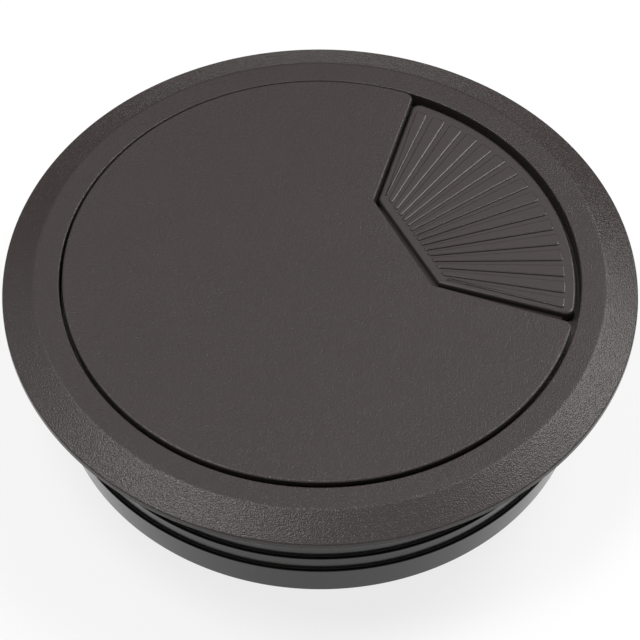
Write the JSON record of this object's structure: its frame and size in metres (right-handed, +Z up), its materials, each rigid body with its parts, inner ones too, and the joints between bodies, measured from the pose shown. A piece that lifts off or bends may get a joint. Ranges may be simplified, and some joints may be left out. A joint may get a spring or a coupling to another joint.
{
  "type": "cable grommet",
  "caption": "Round desk cable grommet: bevelled flange, ringed tube, and a turning cap whose wedge outlet is closed by a finely ribbed swivelling shutter.",
  "frame": {"origin": "on the sleeve's axis, in the plane of the flange's underside, where it sits on the desk top", "axes": "+Z up out of the desk along the sleeve's axis; with the shutter shut, the outlet faces between +X and +Y, 27.5 degrees from +X"},
  "size_m": [0.09, 0.09, 0.0237],
  "materials": {
    "sleeve": "fine spark-eroded texture, dark grey",
    "cap": "fine spark-eroded texture, dark grey",
    "shutter": "fine spark-eroded texture, dark grey"
  },
  "bodies": {
    "sleeve": {"sleeve": "sleeve"},
    "cap": {"cap": "cap"},
    "shutter": {"shutter": "shutter"}
  },
  "joints": [
    {"name": "cap_turn", "type": "hinge", "parent": "sleeve", "child": "cap", "pos_m": [0, 0, 0], "axis": [0, 0, 1], "continuous": true},
    {"name": "shutter_turn", "type": "hinge", "parent": "cap", "child": "shutter", "pos_m": [0, 0, 0], "axis": [0, 0, 1], "range_deg": [-83, 0]}
  ]
}
